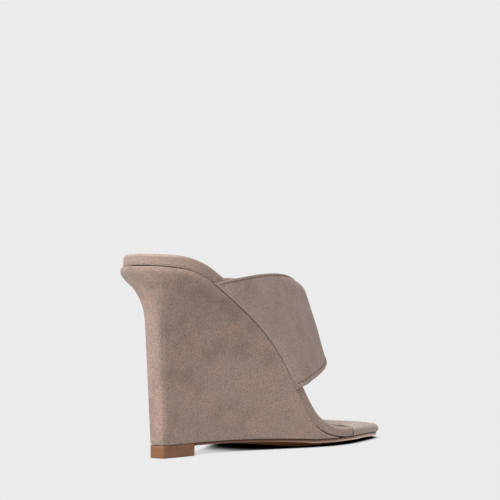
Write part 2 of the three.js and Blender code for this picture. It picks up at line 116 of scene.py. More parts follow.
# %% Tables of the last
MEDIAL_PLAN = {
    "along": (0.00, 0.24, 0.35, 0.45, 0.52, 0.59, 0.66, 0.70, 0.74, 0.80, 0.86, 0.92, 1.00),
    "seat": (1.00, 0.99, 0.93, 0.74, 0.50, 0.21, 0.02, 0.00, 0.00, 0.00, 0.00, 0.00, 0.00),
    "ball": (0.00, 0.01, 0.07, 0.26, 0.50, 0.79, 0.98, 1.00, 0.98, 0.79, 0.55, 0.28, 0.03),
    "toe": (0.00, 0.00, 0.00, 0.00, 0.00, 0.00, 0.00, 0.00, 0.02, 0.21, 0.45, 0.72, 0.97),
}
LATERAL_PLAN = {
    "along": (0.00, 0.20, 0.32, 0.42, 0.50, 0.58, 0.65, 0.74, 0.82, 0.90, 1.00),
    "seat": (1.00, 0.98, 0.74, 0.40, 0.16, 0.00, 0.00, 0.00, 0.00, 0.00, 0.00),
    "ball": (0.00, 0.02, 0.26, 0.60, 0.84, 1.00, 1.00, 0.88, 0.62, 0.30, 0.00),
    "toe": (0.00, 0.00, 0.00, 0.00, 0.00, 0.00, 0.00, 0.12, 0.38, 0.70, 0.95),
}
FOOT_SPREAD = {
    "along": (0.00, 0.18, 0.26, 0.33, 0.40, 0.47, 0.53, 0.60, 0.65, 1.00),
    "medial": (0.00, 0.02, 0.13, 0.30, 0.50, 0.69, 0.84, 0.95, 1.00, 1.00),
    "lateral": (0.00, 0.02, 0.15, 0.33, 0.54, 0.72, 0.86, 0.96, 1.00, 1.00),
}
WEDGE_PROFILE = {
    "along": (0.000, 0.050, 0.098, 0.165, 0.230, 0.297, 0.358, 0.408, 0.446,
              0.479, 0.506, 0.530, 0.562, 0.594, 0.630, 0.665, 0.700, 1.000),
    "rise": (1.000, 0.979, 0.939, 0.868, 0.793, 0.709, 0.618, 0.522, 0.426,
             0.321, 0.230, 0.158, 0.088, 0.047, 0.020, 0.006, 0.000, 0.000),
}
SOLE_PROFILE = {
    "along": (0.00, 0.30, 0.39, 0.46, 0.53, 0.59, 0.82, 0.91, 1.00),
    "waist": (1.00, 0.98, 0.84, 0.62, 0.32, 0.00, 0.00, 0.00, 0.00),
    "tread": (0.00, 0.04, 0.20, 0.46, 0.76, 1.00, 1.00, 1.00, 1.00),
    "lift": (0.00, 0.00, 0.00, 0.00, 0.00, 0.00, 0.00, 0.40, 1.00),
    "drop": (0.00, 0.00, 0.00, 0.00, 0.00, 0.00, 0.00, 0.50, 1.00),
}
FOOTBED_PROFILE = {
    "along": (0.00, 0.10, 0.20, 0.50, 0.58, 0.65, 0.80, 1.00),
    "seat": (1.00, 0.35, 0.10, 0.00, 0.00, 0.00, 0.00, 0.00),
    "arch": (0.00, 0.65, 0.90, 1.00, 0.60, 0.28, 0.14, 0.00),
    "toe": (0.00, 0.00, 0.00, 0.00, 0.40, 0.72, 0.86, 1.00),
}
STRAP_RIDGE = {
    "down": (0.0, 0.3, 0.6, 1.0),
    "over": (0.443, 0.477, 0.533, 0.612),
    "tilt": (40.0, 42.0, 45.0, 52.0),
    "rise": (0.892, 0.996, 0.969, 0.805),
}
print("rows in the wedge's profile:", len(WEDGE_PROFILE["along"]))


# %% Curves through the tables
def through(table, key, value):
    """A smooth curve through two columns of a table, which never swings past its rows."""
    xs, ys = table[key], table[value]
    slopes = [(ys[i + 1] - ys[i]) / (xs[i + 1] - xs[i]) for i in range(len(xs) - 1)]
    tangents = [slopes[0]]
    for before, after in zip(slopes, slopes[1:]):
        turns = before * after <= 0
        tangents.append(0.0 if turns else 2 * before * after / (before + after))
    tangents.append(slopes[-1])

    def curve(at):
        at = min(max(at, xs[0]), xs[-1])
        i = 0
        while i < len(xs) - 2 and at > xs[i + 1]:
            i += 1
        step = xs[i + 1] - xs[i]
        t = (at - xs[i]) / step
        level = ys[i] * (1 + 2 * t) * (1 - t) ** 2 + ys[i + 1] * t * t * (3 - 2 * t)
        bend = tangents[i] * t * (1 - t) ** 2 - tangents[i + 1] * t * t * (1 - t)
        return level + step * bend

    return curve


def blended(table, sizes):
    """A size along the shoe that passes from one named size to the next."""
    parts = [(through(table, "along", name), size) for name, size in sizes.items()]
    return lambda x: sum(curve(x / SHOE_LENGTH) * size for curve, size in parts)


def clamp01(value):
    return min(max(value, 0.0), 1.0)


def mix(a, b, t):
    return a + (b - a) * t


def ease(t):
    t = clamp01(t)
    return t * t * (3 - 2 * t)


# %% The last's outline and heights
HALVES = {"seat": SEAT_WIDTH / 2, "ball": BALL_WIDTH / 2, "toe": TOE_WIDTH / 2}
MEDIAL = {
    "sign": -1,
    "width": blended(MEDIAL_PLAN, HALVES),
    "spread": through(FOOT_SPREAD, "along", "medial"),
    "strap_rear": STRAP_REAR_MEDIAL,
    "strap_lift": STRAP_LIFT_MEDIAL,
}
LATERAL = {
    "sign": 1,
    "width": blended(LATERAL_PLAN, HALVES),
    "spread": through(FOOT_SPREAD, "along", "lateral"),
    "strap_rear": STRAP_REAR_LATERAL,
    "strap_lift": STRAP_LIFT_LATERAL,
}
waist_share = through(SOLE_PROFILE, "along", "waist")
tread_share = through(SOLE_PROFILE, "along", "tread")
lift_share = through(SOLE_PROFILE, "along", "lift")
drop_share = through(SOLE_PROFILE, "along", "drop")
wedge_share = through(WEDGE_PROFILE, "along", "rise")
footbed_height = blended(FOOTBED_PROFILE, {
    "seat": SEAT_THICKNESS,
    "arch": ARCH_THICKNESS,
    "toe": TOE_THICKNESS,
})


def half_width(side, x, set_in=0.0):
    """Half width of the footbed's outline, moved in by set_in."""
    back = clamp01((SEAT_DEPTH - x) / (SEAT_DEPTH - set_in))
    toe = clamp01((x - SHOE_LENGTH + TOE_DEPTH) / (TOE_DEPTH - set_in))
    round_back = (1 - back ** 2) ** 0.5
    round_toe = (1 - toe ** TOE_SQUARENESS) ** (1 / TOE_SQUARENESS)
    return (side["width"](x) - set_in) * round_back * round_toe


def outsole_top(x):
    along = x / SHOE_LENGTH
    level = mix(TREAD_LIFT + OUTSOLE_EDGE, TIP_HEIGHT, waist_share(along))
    return level - TOE_DROP * drop_share(along)


def outsole_edge_bottom(x):
    return outsole_top(x) - mix(OUTSOLE_EDGE, WAIST_EDGE, waist_share(x / SHOE_LENGTH))


def outsole_middle_bottom(x):
    along = x / SHOE_LENGTH
    return outsole_edge_bottom(x) * (1 - tread_share(along)) + TOE_SPRING * lift_share(along)


def footbed_bottom(x):
    return outsole_top(x) + FIT_GAP + WEDGE_HEIGHT * wedge_share(x / SHOE_LENGTH)


SLOPE_REACH = 0.5


def square_to(x):
    """Direction square to the footbed's slope, as its x and z shares."""
    climb = footbed_bottom(x + SLOPE_REACH) - footbed_bottom(x - SLOPE_REACH)
    slope = climb / (2 * SLOPE_REACH) * ease(x / SEAT_DEPTH)
    length = math.hypot(slope, 1)
    return -slope / length, 1 / length


def on_footbed(side, x, set_in, height):
    """A point beside or over the footbed, at a height square to its underside."""
    lean, rise = square_to(x)
    y = side["sign"] * half_width(side, x, set_in)
    return place(x + lean * height, y, footbed_bottom(x) + rise * height)


print(f"seat height {footbed_bottom(0) + SEAT_THICKNESS:.1f} mm")

# %% [markdown]
# ## Lofting
# Most pieces of a shoe are swept along it, so one helper is enough: it joins rings of points
# into a closed skin and closes both ends with a ladder of faces between the two halves of the
# ring. Bevel modifiers or a boolean would also work, but rings keep every rounding where it is
# on the real shoe, and the faces stay even for smooth shading.


# %% The loft helper
SHARP_TURN = math.radians(38)
SAME_POINT = 0.002 * MM
OFF_MIDLINE = 0.01
# The mark for painted shade in seams and grooves, on the dark cut edges found there.
SEAM_SHADE_MARK = -1.0


def finish_mesh(name, mesh):
    """Shades a mesh smooth but for its real corners, and makes it an object."""
    bm = bmesh.new()
    bm.from_mesh(mesh)
    bmesh.ops.remove_doubles(bm, verts=bm.verts, dist=SAME_POINT)
    bmesh.ops.recalc_face_normals(bm, faces=bm.faces)
    for face in bm.faces:
        face.smooth = True
    for edge in bm.edges:
        edge.smooth = len(edge.link_faces) < 2 or edge.calc_face_angle(0) < SHARP_TURN
    bm.to_mesh(mesh)
    bm.free()
    piece = bpy.data.objects.new(name, mesh)
    bpy.context.scene.collection.objects.link(piece)
    print(f"{name}: {len(mesh.polygons)} faces")
    return piece


def loft(name, rings, wear_light_marks=None):
    """A closed skin through rings of points.

    The last argument marks the colour, point by point: above nothing paler, as rubbed wear and
    painted highlight; below nothing dark, as a cut edge and painted shade in a seam or groove.
    """
    count = len(rings[0])
    points = [point for ring in rings for point in ring]
    faces = []
    for ring in range(len(rings) - 1):
        low, high = ring * count, (ring + 1) * count
        for i in range(count):
            after = (i + 1) % count
            faces.append((low + i, low + after, high + after, high + i))
    last = (len(rings) - 1) * count
    for i in range(count // 2 - 1):
        faces.append((i, count - 1 - i, count - 2 - i, i + 1))
        faces.append((last + i, last + i + 1, last + count - 2 - i, last + count - 1 - i))
    mesh = bpy.data.meshes.new(name)
    mesh.from_pydata([tuple(p) for p in points], [], faces)
    wear_and_light = mesh.attributes.new("wear_and_light", "FLOAT", "POINT")
    values = [v for ring in wear_light_marks for v in ring] if wear_light_marks else [0.0] * len(points)
    wear_and_light.data.foreach_set("value", values)
    return finish_mesh(name, mesh)


def evenly(start, end, steps):
    """steps + 1 places from start to end."""
    return [mix(start, end, i / steps) for i in range(steps + 1)]


# %% [markdown]
# ## Shader groups
# Suede is leather with its fibres raised. Close up it is a fine grain, a hand's width away it
# is soft patches of warmer and darker colour where the nap lies another way, where it is rubbed
# it goes paler, and a cut edge is dark. The same pale colour also paints highlights on edges and
# tops, and the same dark paints shade in seams and grooves. All of that is one node group, so
# each suede piece takes it with values of its own. A noise in the object's own metres keeps the
# grain the same size on every piece.


# %% A node group with named sockets
def new_group(name, inputs, outputs):
    group = bpy.data.node_groups.new(name, "ShaderNodeTree")
    for socket, kind, default in inputs:
        made = group.interface.new_socket(socket, in_out="INPUT", socket_type=kind)
        made.default_value = default
    for socket, kind in outputs:
        group.interface.new_socket(socket, in_out="OUTPUT", socket_type=kind)
    enter = group.nodes.new("NodeGroupInput")
    leave = group.nodes.new("NodeGroupOutput")
    return group, enter, leave


def noise(nodes, links, vector, scale, detail=2.0, roughness=0.5):
    """A noise texture in metres; scale may be a number or a socket."""
    node = nodes.new("ShaderNodeTexNoise")
    node.inputs["Detail"].default_value = detail
    node.inputs["Roughness"].default_value = roughness
    links.new(vector, node.inputs["Vector"])
    if isinstance(scale, (int, float)):
        node.inputs["Scale"].default_value = scale
    else:
        links.new(scale, node.inputs["Scale"])
    return node.outputs["Fac"]


def remap(nodes, links, value, low, high, out_low, out_high):
    node = nodes.new("ShaderNodeMapRange")
    node.interpolation_type = "SMOOTHSTEP"
    for socket, number in zip(("From Min", "From Max", "To Min", "To Max"),
                              (low, high, out_low, out_high)):
        node.inputs[socket].default_value = number
    links.new(value, node.inputs["Value"])
    return node.outputs["Result"]


def math_node(nodes, links, operation, a, b):
    node = nodes.new("ShaderNodeMath")
    node.operation = operation
    for socket, value in zip(node.inputs, (a, b)):
        if isinstance(value, (int, float)):
            socket.default_value = value
        else:
            links.new(value, socket)
    return node.outputs[0]


def mix_colour(nodes, links, factor, a, b):
    """Mixes two colours: sockets 0, 6 and 7 take the factor and both colours, 2 gives the mix."""
    node = nodes.new("ShaderNodeMix")
    node.data_type = "RGBA"
    for socket, value in ((node.inputs[0], factor), (node.inputs[6], a), (node.inputs[7], b)):
        if isinstance(value, (int, float, tuple)):
            socket.default_value = value
        else:
            links.new(value, socket)
    return node.outputs[2]


# %% The suede group
PATCH_FROM = 0.46
PATCH_TO = 0.66
ELSEWHERE = (0.31, 0.17, 0.53)
RAGGED_SCALE = 420.0
# The dark of the cut edges, also used as painted shade in seams and grooves.
CUT_AND_SHADE_COLOUR = (0.025, 0.014, 0.009, 1)


def make_suede_group():
    """Nap, patches, wear, cut edges and painted light and shade, as a colour and a bump height."""
    group, enter, leave = new_group(
        "suede_nap",
        [
            ("Colour", "NodeSocketColor", (0.28, 0.22, 0.18, 1)),
            ("Warm patch", "NodeSocketColor", (0.30, 0.20, 0.15, 1)),
            ("Dark patch", "NodeSocketColor", (0.22, 0.17, 0.13, 1)),
            ("Rubbed and lit", "NodeSocketColor", (0.42, 0.33, 0.26, 1)),
            ("Patch scale", "NodeSocketFloat", 60.0),
            ("Grain scale", "NodeSocketFloat", 1450.0),
            ("Patchiness", "NodeSocketFloat", 0.5),
            ("Grain contrast", "NodeSocketFloat", 0.3),
        ],
        [("Colour", "NodeSocketColor"), ("Height", "NodeSocketFloat")],
    )
    nodes, links = group.nodes, group.links
    metres = nodes.new("ShaderNodeTexCoord").outputs["Object"]
    warm = noise(nodes, links, metres, enter.outputs["Patch scale"], 3.0, 0.55)
    warm_mask = remap(nodes, links, warm, PATCH_FROM, PATCH_TO, 0.0, 1.0)
    shifted = nodes.new("ShaderNodeVectorMath")
    shifted.operation = "ADD"
    shifted.inputs[1].default_value = ELSEWHERE
    links.new(metres, shifted.inputs[0])
    dark = noise(nodes, links, shifted.outputs[0], enter.outputs["Patch scale"], 3.0, 0.55)
    dark_mask = remap(nodes, links, dark, PATCH_FROM, PATCH_TO, 0.0, 1.0)
    patchiness = enter.outputs["Patchiness"]
    warm_mask = math_node(nodes, links, "MULTIPLY", warm_mask, patchiness)
    dark_mask = math_node(nodes, links, "MULTIPLY", dark_mask, patchiness)
    colour = mix_colour(nodes, links, warm_mask, enter.outputs["Colour"],
                        enter.outputs["Warm patch"])
    colour = mix_colour(nodes, links, dark_mask, colour, enter.outputs["Dark patch"])
    wear_and_light = nodes.new("ShaderNodeAttribute")
    wear_and_light.attribute_name = "wear_and_light"
    ragged = noise(nodes, links, metres, RAGGED_SCALE, 3.0, 0.6)
    ragged = remap(nodes, links, ragged, 0.3, 0.7, 0.55, 1.0)
    # Paler where the marks are above nothing: rubbed wear, and painted highlights on edges and
    # tops.
    rubbed_and_lit = math_node(nodes, links, "MAXIMUM", wear_and_light.outputs["Fac"], 0.0)
    rubbed_and_lit = math_node(nodes, links, "MULTIPLY", rubbed_and_lit, ragged)
    colour = mix_colour(nodes, links, rubbed_and_lit, colour, enter.outputs["Rubbed and lit"])
    # Dark where the marks are below nothing: cut edges, and painted shade in seams and grooves.
    cut_and_shade = math_node(nodes, links, "MULTIPLY", wear_and_light.outputs["Fac"], -1.0)
    cut_and_shade = remap(nodes, links, cut_and_shade, 0.1, 0.9, 0.0, 0.9)
    colour = mix_colour(nodes, links, cut_and_shade, colour, CUT_AND_SHADE_COLOUR)
    grain = noise(nodes, links, metres, enter.outputs["Grain scale"], 4.0, 0.7)
    centred = math_node(nodes, links, "SUBTRACT", grain, 0.5)
    strength = math_node(nodes, links, "MULTIPLY", centred, enter.outputs["Grain contrast"])
    gain = math_node(nodes, links, "ADD", strength, 1.0)
    bright = nodes.new("ShaderNodeVectorMath")
    bright.operation = "SCALE"
    links.new(colour, bright.inputs[0])
    links.new(gain, bright.inputs["Scale"])
    links.new(bright.outputs[0], leave.inputs["Colour"])
    links.new(grain, leave.inputs["Height"])
    return group


SUEDE_GROUP = make_suede_group()
print("group:", SUEDE_GROUP.name)


# %% The smooth leather group
def make_leather_group():
    """Pigment streaks, a fine grain for the bump and scuffs for the roughness."""
    group, enter, leave = new_group(
        "smooth_leather",
        [
            ("Colour", "NodeSocketColor", (0.20, 0.09, 0.04, 1)),
            ("Stain", "NodeSocketColor", (0.10, 0.04, 0.02, 1)),
            ("Scraped and lit", "NodeSocketColor", (0.5, 0.3, 0.2, 1)),
            ("Streak scale", "NodeSocketFloat", 60.0),
            ("Grain scale", "NodeSocketFloat", 1400.0),
            ("Roughness", "NodeSocketFloat", 0.4),
        ],
        [
            ("Colour", "NodeSocketColor"),
            ("Roughness", "NodeSocketFloat"),
            ("Height", "NodeSocketFloat"),
        ],
    )
    nodes, links = group.nodes, group.links
    metres = nodes.new("ShaderNodeTexCoord").outputs["Object"]
    streak = noise(nodes, links, metres, enter.outputs["Streak scale"], 4.0, 0.6)
    stained = remap(nodes, links, streak, 0.42, 0.68, 0.0, 0.7)
    colour = mix_colour(nodes, links, stained, enter.outputs["Colour"], enter.outputs["Stain"])
    wear_and_light = nodes.new("ShaderNodeAttribute")
    wear_and_light.attribute_name = "wear_and_light"
    # Paler where the marks are above nothing: scraped, and on the sole's toe a painted reflection,
    # on the lining beside the seam a painted highlight.
    colour = mix_colour(nodes, links, wear_and_light.outputs["Fac"], colour, enter.outputs["Scraped and lit"])
    grain = noise(nodes, links, metres, enter.outputs["Grain scale"], 3.0, 0.6)
    scuff = noise(nodes, links, metres, 240.0, 4.0, 0.65)
    scuffed = remap(nodes, links, scuff, 0.4, 0.7, -0.06, 0.14)
    rough = math_node(nodes, links, "ADD", enter.outputs["Roughness"], scuffed)
    links.new(colour, leave.inputs["Colour"])
    links.new(rough, leave.inputs["Roughness"])
    links.new(grain, leave.inputs["Height"])
    return group


LEATHER_GROUP = make_leather_group()
print("group:", LEATHER_GROUP.name)


# %% Materials from the groups
SUEDE_BUMP = 0.7
SUEDE_PILE = 0.3 * MM
LEATHER_BUMP = 0.25
LEATHER_PORE = 0.1 * MM


def new_material(name, group, values, bump, bump_distance):
    material = bpy.data.materials.new(name)
    material.use_nodes = True
    nodes, links = material.node_tree.nodes, material.node_tree.links
    shader = nodes["Principled BSDF"]
    finish = nodes.new("ShaderNodeGroup")
    finish.node_tree = group
    for socket, value in values.items():
        finish.inputs[socket].default_value = value
    links.new(finish.outputs["Colour"], shader.inputs["Base Color"])
    relief = nodes.new("ShaderNodeBump")
    relief.inputs["Strength"].default_value = bump
    relief.inputs["Distance"].default_value = bump_distance
    links.new(finish.outputs["Height"], relief.inputs["Height"])
    links.new(relief.outputs["Normal"], shader.inputs["Normal"])
    return material, shader, finish, links


def suede_material(name, colour, warm, dark, rubbed_and_lit, patchiness=0.75, contrast=2.1):
    values = {
        "Colour": colour,
        "Warm patch": warm,
        "Dark patch": dark,
        "Rubbed and lit": rubbed_and_lit,
        "Patchiness": patchiness,
        "Grain contrast": contrast,
    }
    material, shader, _, _ = new_material(name, SUEDE_GROUP, values, SUEDE_BUMP, SUEDE_PILE)
    shader.inputs["Roughness"].default_value = 0.95
    shader.inputs["Specular IOR Level"].default_value = 0.2
    shader.inputs["Sheen Weight"].default_value = 0.1
    shader.inputs["Sheen Roughness"].default_value = 0.5
    return material


def leather_material(name, colour, stain, roughness, coat, scraped_and_lit=(0.5, 0.33, 0.23, 1)):
    values = {"Colour": colour, "Stain": stain, "Roughness": roughness, "Scraped and lit": scraped_and_lit}
    made = new_material(name, LEATHER_GROUP, values, LEATHER_BUMP, LEATHER_PORE)
    material, shader, finish, links = made
    links.new(finish.outputs["Roughness"], shader.inputs["Roughness"])
    shader.inputs["Coat Weight"].default_value = coat
    shader.inputs["Coat Roughness"].default_value = 0.25
    shader.inputs["Specular IOR Level"].default_value = 0.3
    return material


TAUPE = (0.287, 0.209, 0.174, 1)
TAUPE_WARM = (0.320, 0.216, 0.172, 1)
TAUPE_DARK = (0.229, 0.166, 0.135, 1)
# The rubbed colour is also the painted highlight on edges and tops.
TAUPE_RUBBED_AND_LIT = (0.42, 0.325, 0.265, 1)
STRAP_TAUPE = (0.285, 0.209, 0.178, 1)
STRAP_PINK = (0.315, 0.225, 0.192, 1)
STRAP_DARK = (0.245, 0.180, 0.150, 1)
wedge_suede = suede_material("wedge_suede", TAUPE, TAUPE_WARM, TAUPE_DARK, TAUPE_RUBBED_AND_LIT)
strap_suede = suede_material("strap_suede", STRAP_TAUPE, STRAP_PINK, STRAP_DARK, TAUPE_RUBBED_AND_LIT)
rand_suede = suede_material("rand_suede", TAUPE, TAUPE_WARM, TAUPE_DARK, TAUPE_RUBBED_AND_LIT, 0.4)
# The sock's suede is lighter than the rest of the suede: painted light on the footbed's top.
sock_suede = suede_material("sock_suede", (0.310, 0.238, 0.200, 1), (0.325, 0.235, 0.195, 1),
                            (0.27, 0.205, 0.17, 1), (0.54, 0.455, 0.385, 1), 0.3)
lining_leather = leather_material("lining_leather", (0.42, 0.32, 0.24, 1),
                                  (0.34, 0.25, 0.18, 1), 0.6, 0.0)
sole_leather = leather_material("sole_leather", (0.11, 0.037, 0.013, 1),
                                (0.07, 0.022, 0.008, 1), 0.36, 0.1, (0.62, 0.43, 0.33, 1))
tip_leather = leather_material("tip_leather", (0.185, 0.080, 0.037, 1),
                               (0.14, 0.058, 0.027, 1), 0.45, 0.05)
# The board is near black as painted shade, since it shows only at the bottom of the seams.
board_shade = leather_material("footbed_board", (0.05, 0.03, 0.02, 1), (0.03, 0.02, 0.013, 1), 0.8, 0.0)
thread = leather_material("stitch_thread", (0.29, 0.213, 0.18, 1),
                          (0.24, 0.175, 0.145, 1), 0.7, 0.0)
# The pinholes' near black is painted shade in the holes.
pinhole = leather_material("pinhole_shadow", (0.03, 0.02, 0.015, 1),
                           (0.02, 0.012, 0.01, 1), 0.9, 0.0)
print("materials:", len(bpy.data.materials))


def finished(piece, material, node):
    """Gives a piece its material, hangs it on the root body and hides the solid it stands for."""
    piece.data.materials.append(material)
    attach(piece, "root")
    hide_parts(node)


# %% [markdown]
# ## The wedge
# The wedge is a moulded block with suede drawn over it. Its top follows the footbed with a
# small rim, its foot is only as wide as the heel tip at the back and spreads to the ball, and
# below the rim a hollow flare joins the two. It could be sculpted, but its walls are straight
# lines between two outlines apart from that flare, so it is lofted from rim to foot.


# %% The wedge's two outlines
CORNER_TO = math.radians(47)
BACK_FLAT = TIP_WIDTH / 2 - TIP_CORNER
CORNER_FROM = CORNER_TO * BACK_FLAT / (BACK_FLAT + TIP_CORNER * math.pi / 2)
FIRST_TURN = math.radians(1.5)
BACK_STEPS = 12
CORNER_STEPS = 9
SIDE_STEPS = 120
SIDE_BUNCHING = 1.15


def rim_at(x):
    return RIM_PROUD * ease((WEDGE_END - x) / (WEDGE_END - STRAP_FRONT))


def foot_half(side, x):
    tip_share = clamp01((x - TIP_SET_IN) / TIP_LENGTH)
    tip_half = mix(TIP_WIDTH, TIP_FRONT_WIDTH, tip_share) / 2
    full = half_width(side, x) + rim_at(x)
    return mix(tip_half, full, side["spread"](x / SHOE_LENGTH))


def rim_at_turn(side, turn):
    x = SEAT_DEPTH - (SEAT_DEPTH + RIM_PROUD) * math.cos(turn)
    return x, (side["width"](max(x, 0)) + RIM_PROUD) * math.sin(turn)


def outward(turn):
    return -math.cos(turn), math.sin(turn)


def wedge_pairs(side):
    """Pairs of points, on the rim and on the foot, each with the way it faces."""
    pairs = []
    for i in range(BACK_STEPS):
        share = i / BACK_STEPS
        turn = mix(FIRST_TURN, CORNER_FROM, share)
        foot = (TIP_SET_IN, mix(0.02 * BACK_FLAT, BACK_FLAT, share))
        pairs.append((rim_at_turn(side, turn), outward(turn), foot, outward(0)))
    for i in range(CORNER_STEPS):
        share = i / CORNER_STEPS
        rim_turn = mix(CORNER_FROM, CORNER_TO, share)
        turn = share * math.pi / 2
        foot = (TIP_SET_IN + TIP_CORNER * (1 - math.cos(turn)),
                TIP_WIDTH / 2 - TIP_CORNER * (1 - math.sin(turn)))
        pairs.append((rim_at_turn(side, rim_turn), outward(rim_turn), foot, outward(turn)))
    rim_start = rim_at_turn(side, CORNER_TO)[0]
    for i in range(SIDE_STEPS + 1):
        share = (i / SIDE_STEPS) ** SIDE_BUNCHING
        rim_x = mix(rim_start, WEDGE_END, share)
        foot_x = mix(TIP_SET_IN + TIP_CORNER, WEDGE_END, share)
        turn = math.pi / 2
        rim = (rim_x, half_width(side, rim_x) + rim_at(rim_x))
        if rim_x < SEAT_DEPTH:
            turn = math.acos((SEAT_DEPTH - rim_x) / (SEAT_DEPTH + RIM_PROUD))
            rim = (rim_x, rim_at_turn(side, turn)[1])
        foot = (foot_x, foot_half(side, foot_x))
        pairs.append((rim, outward(turn), foot, outward(math.pi / 2)))
    return pairs


# %% The wedge's wall and mesh
FLARE_HOLLOW = 2.3
FLARE_ACROSS = 0.92
FLARE_ALONG = 0.42
FLARE_FROM = 20.0
FLARE_TO = 100.0
FULL_WALL = 60.0
# Painted seam shade: a dark band along the wedge's top and foot, where it meets rand and outsole.
SEAM_SHADE_BAND = 0.15
FOOT_SEAM_SHADE = -0.35
EDGE_PALE = 0.2
EDGE_PALE_REACH = 1.5
LIP_SOFTNESS = 1.6
LIP_STRAIGHT = 2.4
FOLD = 0.7
RIM_DEPTHS = (0.0, 0.06, 0.18, 0.38, FOLD, 1.4, 2.1, 2.8, 3.5, 4.2, 4.9, 5.5)
FLARE_STEPS = 22
WALL_STEPS = 30
WALL_BUNCHING = 0.75


def fold_in(distance, radius):
    """How far a folded edge has rolled in, at a distance from its end."""
    left = clamp01(1 - distance / radius)
    return radius * (1 - math.sqrt(1 - left * left))


def wedge_line(side, rim, rim_faces, foot, foot_faces):
    """Points down the wall from rim to foot, with paler edges and painted seam shade."""
    top = footbed_bottom(max(rim[0], 0)) - FIT_GAP
    bottom = outsole_top(foot[0]) + FIT_GAP
    tall = top - bottom
    squeeze = min(1.0, tall / FULL_WALL)
    fade = 1 - ease((rim[0] - FLARE_FROM) / (FLARE_TO - FLARE_FROM))
    flare_foot = (RIM_HEIGHT + FLARE_HEIGHT) * squeeze
    depths = [depth * squeeze for depth in RIM_DEPTHS]
    depths += [mix(RIM_HEIGHT * squeeze, flare_foot, (i + 1) / FLARE_STEPS)
               for i in range(FLARE_STEPS)]
    depths += [mix(flare_foot, tall, ((i + 1) / WALL_STEPS) ** WALL_BUNCHING)
               for i in range(WALL_STEPS)]
    radius = min(FOLD, tall * 0.4)
    points, wear_light_marks = [], []
    for depth in depths:
        below = max(0.0, depth / squeeze - LIP_STRAIGHT)
        below = below * below / (below + LIP_SOFTNESS)
        hollow = clamp01(1 - below / (RIM_HEIGHT + FLARE_HEIGHT - LIP_STRAIGHT)) ** FLARE_HOLLOW
        straight = 1 - depth / tall
        across = mix(straight, hollow, FLARE_ACROSS * fade)
        along = mix(straight, hollow, FLARE_ALONG * fade)
        x = mix(foot[0], rim[0], along)
        y = mix(foot[1], rim[1], across)
        rim_fold = fold_in(depth, radius)
        foot_fold = fold_in(tall - depth, radius * 0.6)
        x -= rim_fold * rim_faces[0] + foot_fold * foot_faces[0]
        y -= rim_fold * rim_faces[1] + foot_fold * foot_faces[1]
        points.append(place(x, side["sign"] * max(y, OFF_MIDLINE), top - depth))
        # Painted shade in the seams at the top and the foot; paler near both edges between them.
        if depth < SEAM_SHADE_BAND:
            wear_light_marks.append(SEAM_SHADE_MARK)
        elif tall - depth < SEAM_SHADE_BAND:
            wear_light_marks.append(FOOT_SEAM_SHADE)
        else:
            from_edge = min(depth, tall - depth)
            wear_light_marks.append(EDGE_PALE * clamp01(1 - from_edge / EDGE_PALE_REACH))
    return points, wear_light_marks


def make_wedge():
    right = [wedge_line(MEDIAL, *pair) for pair in wedge_pairs(MEDIAL)]
    left = [wedge_line(LATERAL, *pair) for pair in wedge_pairs(LATERAL)][::-1]
    lines = right + left
    levels = range(len(lines[0][0]))
    rings = [[line[0][level] for line in lines] for level in levels]
    wear_light_marks = [[line[1][level] for line in lines] for level in levels]
    return loft("wedge_cover", rings, wear_light_marks)


finished(make_wedge(), wedge_suede, "wedge")

# %% [markdown]
# ## The rand and the sock
# The footbed's board is covered by two pieces of suede. The rand is a strip round its side,
# turned in over the top edge. The sock covers the top inside that turn-in, and ahead of the
# toe seam it goes on over the edge and down to the sole. Both are lofted station by station
# along the last, because their edges have to follow the same outline. Their edges in the seams
# and the groove between them are painted dark as shade, and the board itself is painted near
# black as the shade at the bottom of the seams, the only place where it shows.

# %% Stations along the outline
END_STEPS = 22
MIDDLE_STEPS = 120
SEAM_GAP = 0.75
CUT_EDGE = 0.4
CLOSE = 0.9


def stations():
    """Ways to find x for a set-in: even turns round both ends, even steps between."""
    ways = []
    for turn in evenly(FIRST_TURN, math.pi / 2, END_STEPS)[:-1]:
        ways.append(lambda s, c=math.cos(turn): SEAT_DEPTH - (SEAT_DEPTH - s) * c)
    for step in evenly(SEAT_DEPTH, SHOE_LENGTH - TOE_DEPTH, MIDDLE_STEPS)[:-1]:
        ways.append(lambda s, x=step: x)
    for turn in evenly(0, math.pi / 2 - FIRST_TURN, END_STEPS):
        reach = math.sin(turn) ** (2 / TOE_SQUARENESS)
        ways.append(lambda s, r=reach: SHOE_LENGTH - TOE_DEPTH + (TOE_DEPTH - s) * r)
    return ways


BEHIND_SEAM = [way for way in stations() if way(0) < TOE_SEAM - CLOSE]
BEHIND_SEAM += [lambda s: TOE_SEAM - CUT_EDGE, lambda s: TOE_SEAM]
AHEAD_OF_SEAM = [lambda s: TOE_SEAM + SEAM_GAP, lambda s: TOE_SEAM + SEAM_GAP + CUT_EDGE]
AHEAD_OF_SEAM += [way for way in stations() if way(0) > TOE_SEAM + SEAM_GAP + CLOSE]

TURN_IN_SEAT = 5.0
TURN_IN_BALL = 10.0
TURN_IN_SEAM = 15.0
SEAM_APPROACH = 22.0
SKIN = 0.6


def turn_in_at(x):
    """How far the rand reaches over the footbed's top."""
    to_ball = ease((x - SEAT_DEPTH) / (STRAP_FRONT - SEAT_DEPTH))
    to_seam = clamp01((x - TOE_SEAM + SEAM_APPROACH) / SEAM_APPROACH) ** 2
    return mix(mix(TURN_IN_SEAT, TURN_IN_BALL, to_ball), TURN_IN_SEAM, to_seam)


def rounded(across, down, steps=7):
    """Insets and drops that round a top edge, from its side to its top."""
    return [(across * (1 - math.cos(t)), down * (1 - math.sin(t)))
            for t in evenly(0, math.pi / 2, steps)]


print("stations:", len(BEHIND_SEAM), "behind the toe seam and", len(AHEAD_OF_SEAM), "ahead")


